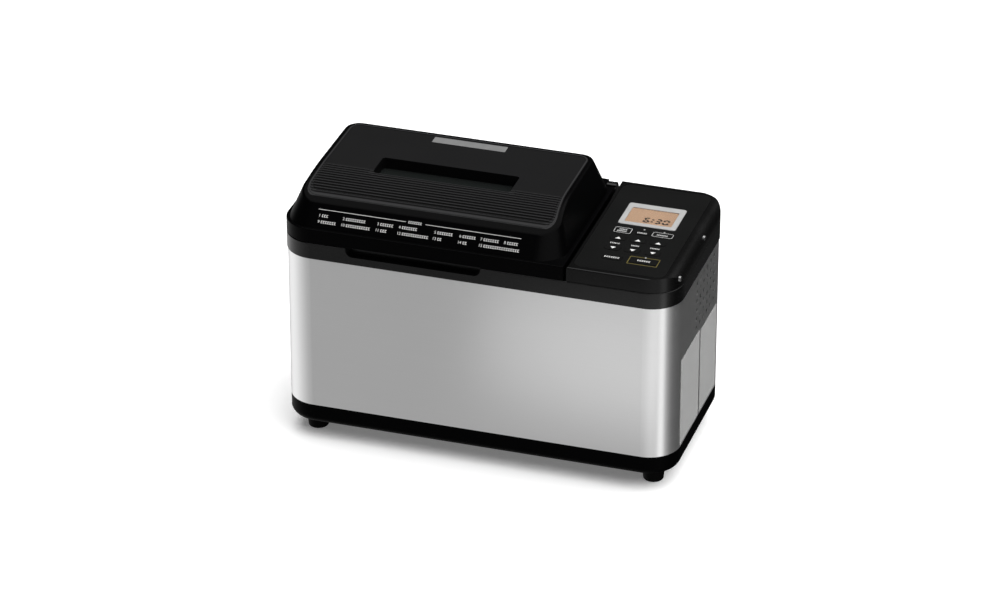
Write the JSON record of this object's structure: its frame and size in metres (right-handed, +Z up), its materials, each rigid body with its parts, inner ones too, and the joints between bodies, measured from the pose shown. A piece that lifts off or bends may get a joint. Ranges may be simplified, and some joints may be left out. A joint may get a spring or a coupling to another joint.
{
  "type": "bread machine",
  "caption": "Countertop bread machine with a brushed steel body, hinged lid with a sunk window, side control panel, lift-out loaf pan, kneading blades and a belt drive.",
  "frame": {"origin": "on the table under the middle of the machine's bounding box", "axes": "+X to the right seen from the front, +Y to the back, +Z up"},
  "size_m": [0.457, 0.216, 0.3094],
  "materials": {
    "brushed_wrap": "horizontal brushed",
    "trim_plastic": "satin, fine moulded texture",
    "lid_plastic": "satin moulded",
    "foot_rubber": "matt",
    "rear_paint": "satin black paint",
    "gland_rubber": "matt",
    "window_glass": "clear",
    "lens_clear": "clear",
    "liner_metal": "drawn sheet",
    "chamber_metal": "drawn sheet",
    "heater_sheath": "dark oxide sheath",
    "bright_steel": "ground",
    "screw_steel": "bright plated",
    "handle_wire": "bright plated",
    "non_stick": "dark non-stick coating",
    "pan_metal": "pressed sheet",
    "seal_rubber": "silicone",
    "panel_film": "printed film",
    "key_film": "printed film",
    "bezel_silver": "satin silver",
    "display": "amber backlit",
    "board_green": "solder resist",
    "component_black": "moulded",
    "chassis_steel": "zinc plated",
    "bearing_bronze": "sintered",
    "motor_core": "laminated",
    "copper_wire": "enamelled",
    "motor_cast": "die cast",
    "mount_rubber": "matt",
    "pulley_nylon": "natural nylon",
    "belt_rubber": "matt"
  },
  "bodies": {
    "housing": {"base_tray": "trim_plastic", "feet": "foot_rubber", "body_wrap": "brushed_wrap", "rear_panel": "rear_paint", "cord_gland": "gland_rubber", "upper_frame": "trim_plastic", "hinge_pins": "bright_steel", "control_housing": "trim_plastic", "control_overlay": "panel_film", "lcd_bezel": "bezel_silver", "lcd_lens": "lens_clear", "lcd_module": "display", "control_board": "board_green", "side_screws": "screw_steel", "baking_chamber": "chamber_metal", "main_heater": "heater_sheath", "heater_brackets": "bright_steel", "temperature_probe": "bright_steel", "pan_springs": "bright_steel", "chassis_plate": "chassis_steel", "shaft_bearings": "bearing_bronze", "motor_stator": "motor_core", "motor_windings": "copper_wire", "motor_brackets": "motor_cast", "motor_mounts": "mount_rubber", "power_board": "board_green", "board_parts": "component_black", "main_belt": "belt_rubber", "cross_belt": "belt_rubber"},
    "lid": {"lid_cover": "lid_plastic", "lid_window": "window_glass", "lid_liner": "liner_metal", "lid_inner_glass": "window_glass", "lid_heater": "heater_sheath"},
    "pan": {"loaf_pan": "non_stick", "pan_foot": "pan_metal", "shaft_seals": "seal_rubber"},
    "handle_left": {"pan_handle_left": "handle_wire"},
    "handle_right": {"pan_handle_right": "handle_wire"},
    "blade_left": {"pan_shaft_left": "bright_steel", "kneading_blade_left": "non_stick"},
    "blade_right": {"pan_shaft_right": "bright_steel", "kneading_blade_right": "non_stick"},
    "drive_left": {"drive_shaft_left": "bright_steel", "cross_pulley": "pulley_nylon"},
    "drive_right": {"drive_shaft_right": "bright_steel", "double_pulley": "pulley_nylon"},
    "motor": {"motor_rotor": "motor_core", "motor_pulley": "pulley_nylon"},
    "crust_key": {"crust_key": "key_film"},
    "delay_key": {"delay_key": "key_film"},
    "timer_key": {"timer_key": "key_film"},
    "course_up_key": {"course_up_key": "key_film"},
    "hour_up_key": {"hour_up_key": "key_film"},
    "minute_up_key": {"minute_up_key": "key_film"},
    "course_down_key": {"course_down_key": "key_film"},
    "hour_down_key": {"hour_down_key": "key_film"},
    "minute_down_key": {"minute_down_key": "key_film"},
    "cancel_key": {"cancel_key": "key_film"},
    "start_key": {"start_key": "key_film"}
  },
  "joints": [
    {"name": "lid_hinge", "type": "hinge", "parent": "housing", "child": "lid", "pos_m": [0, 0.1, 0.26], "axis": [-1, 0, 0], "range_deg": [0, 95]},
    {"name": "pan_lift", "type": "slide", "parent": "housing", "child": "pan", "axis": [0, 0, 1], "range_m": [0, 0.012]},
    {"name": "handle_left_swing", "type": "hinge", "parent": "pan", "child": "handle_left", "pos_m": [-0.1885, 0, 0.231], "axis": [0, 1, 0], "range_deg": [0, 84]},
    {"name": "handle_right_swing", "type": "hinge", "parent": "pan", "child": "handle_right", "pos_m": [0.0615, 0, 0.231], "axis": [0, -1, 0], "range_deg": [0, 84]},
    {"name": "motor_spin", "type": "hinge", "parent": "housing", "child": "motor", "pos_m": [0.1545, 0, 0.1], "axis": [0, 0, 1], "continuous": true},
    {"name": "drive_left_spin", "type": "hinge", "parent": "housing", "child": "drive_left", "pos_m": [-0.1185, 0, 0.08], "axis": [0, 0, 1], "continuous": true},
    {"name": "blade_left_spin", "type": "hinge", "parent": "pan", "child": "blade_left", "pos_m": [-0.1185, 0, 0.08], "axis": [0, 0, 1], "continuous": true},
    {"name": "drive_right_spin", "type": "hinge", "parent": "housing", "child": "drive_right", "pos_m": [-0.0085, 0, 0.08], "axis": [0, 0, 1], "continuous": true},
    {"name": "blade_right_spin", "type": "hinge", "parent": "pan", "child": "blade_right", "pos_m": [-0.0085, 0, 0.08], "axis": [0, 0, 1], "continuous": true},
    {"name": "crust_press", "type": "slide", "parent": "housing", "child": "crust_key", "axis": [0, 0.0069, -1], "range_m": [0, 0.0006], "stiffness_N_per_m": 600, "springref_m": -0.0003},
    {"name": "delay_press", "type": "slide", "parent": "housing", "child": "delay_key", "axis": [0, 0.0069, -1], "range_m": [0, 0.0006], "stiffness_N_per_m": 600, "springref_m": -0.0003},
    {"name": "timer_press", "type": "slide", "parent": "housing", "child": "timer_key", "axis": [0, 0.0069, -1], "range_m": [0, 0.0006], "stiffness_N_per_m": 600, "springref_m": -0.0003},
    {"name": "course_up_press", "type": "slide", "parent": "housing", "child": "course_up_key", "axis": [0, 0.0069, -1], "range_m": [0, 0.0006], "stiffness_N_per_m": 600, "springref_m": -0.0003},
    {"name": "hour_up_press", "type": "slide", "parent": "housing", "child": "hour_up_key", "axis": [0, 0.0069, -1], "range_m": [0, 0.0006], "stiffness_N_per_m": 600, "springref_m": -0.0003},
    {"name": "minute_up_press", "type": "slide", "parent": "housing", "child": "minute_up_key", "axis": [0, 0.0069, -1], "range_m": [0, 0.0006], "stiffness_N_per_m": 600, "springref_m": -0.0003},
    {"name": "course_down_press", "type": "slide", "parent": "housing", "child": "course_down_key", "axis": [0, 0.0069, -1], "range_m": [0, 0.0006], "stiffness_N_per_m": 600, "springref_m": -0.0003},
    {"name": "hour_down_press", "type": "slide", "parent": "housing", "child": "hour_down_key", "axis": [0, 0.0069, -1], "range_m": [0, 0.0006], "stiffness_N_per_m": 600, "springref_m": -0.0003},
    {"name": "minute_down_press", "type": "slide", "parent": "housing", "child": "minute_down_key", "axis": [0, 0.0069, -1], "range_m": [0, 0.0006], "stiffness_N_per_m": 600, "springref_m": -0.0003},
    {"name": "cancel_press", "type": "slide", "parent": "housing", "child": "cancel_key", "axis": [0, 0.0069, -1], "range_m": [0, 0.0006], "stiffness_N_per_m": 600, "springref_m": -0.0003},
    {"name": "start_press", "type": "slide", "parent": "housing", "child": "start_key", "axis": [0, 0.0069, -1], "range_m": [0, 0.0006], "stiffness_N_per_m": 600, "springref_m": -0.0003}
  ],
  "couplings": [
    {"joint": "drive_left_spin", "follows": "motor_spin", "ratio": 0.16667},
    {"joint": "blade_left_spin", "follows": "motor_spin", "ratio": 0.16667},
    {"joint": "drive_right_spin", "follows": "motor_spin", "ratio": 0.16667},
    {"joint": "blade_right_spin", "follows": "motor_spin", "ratio": 0.16667}
  ]
}
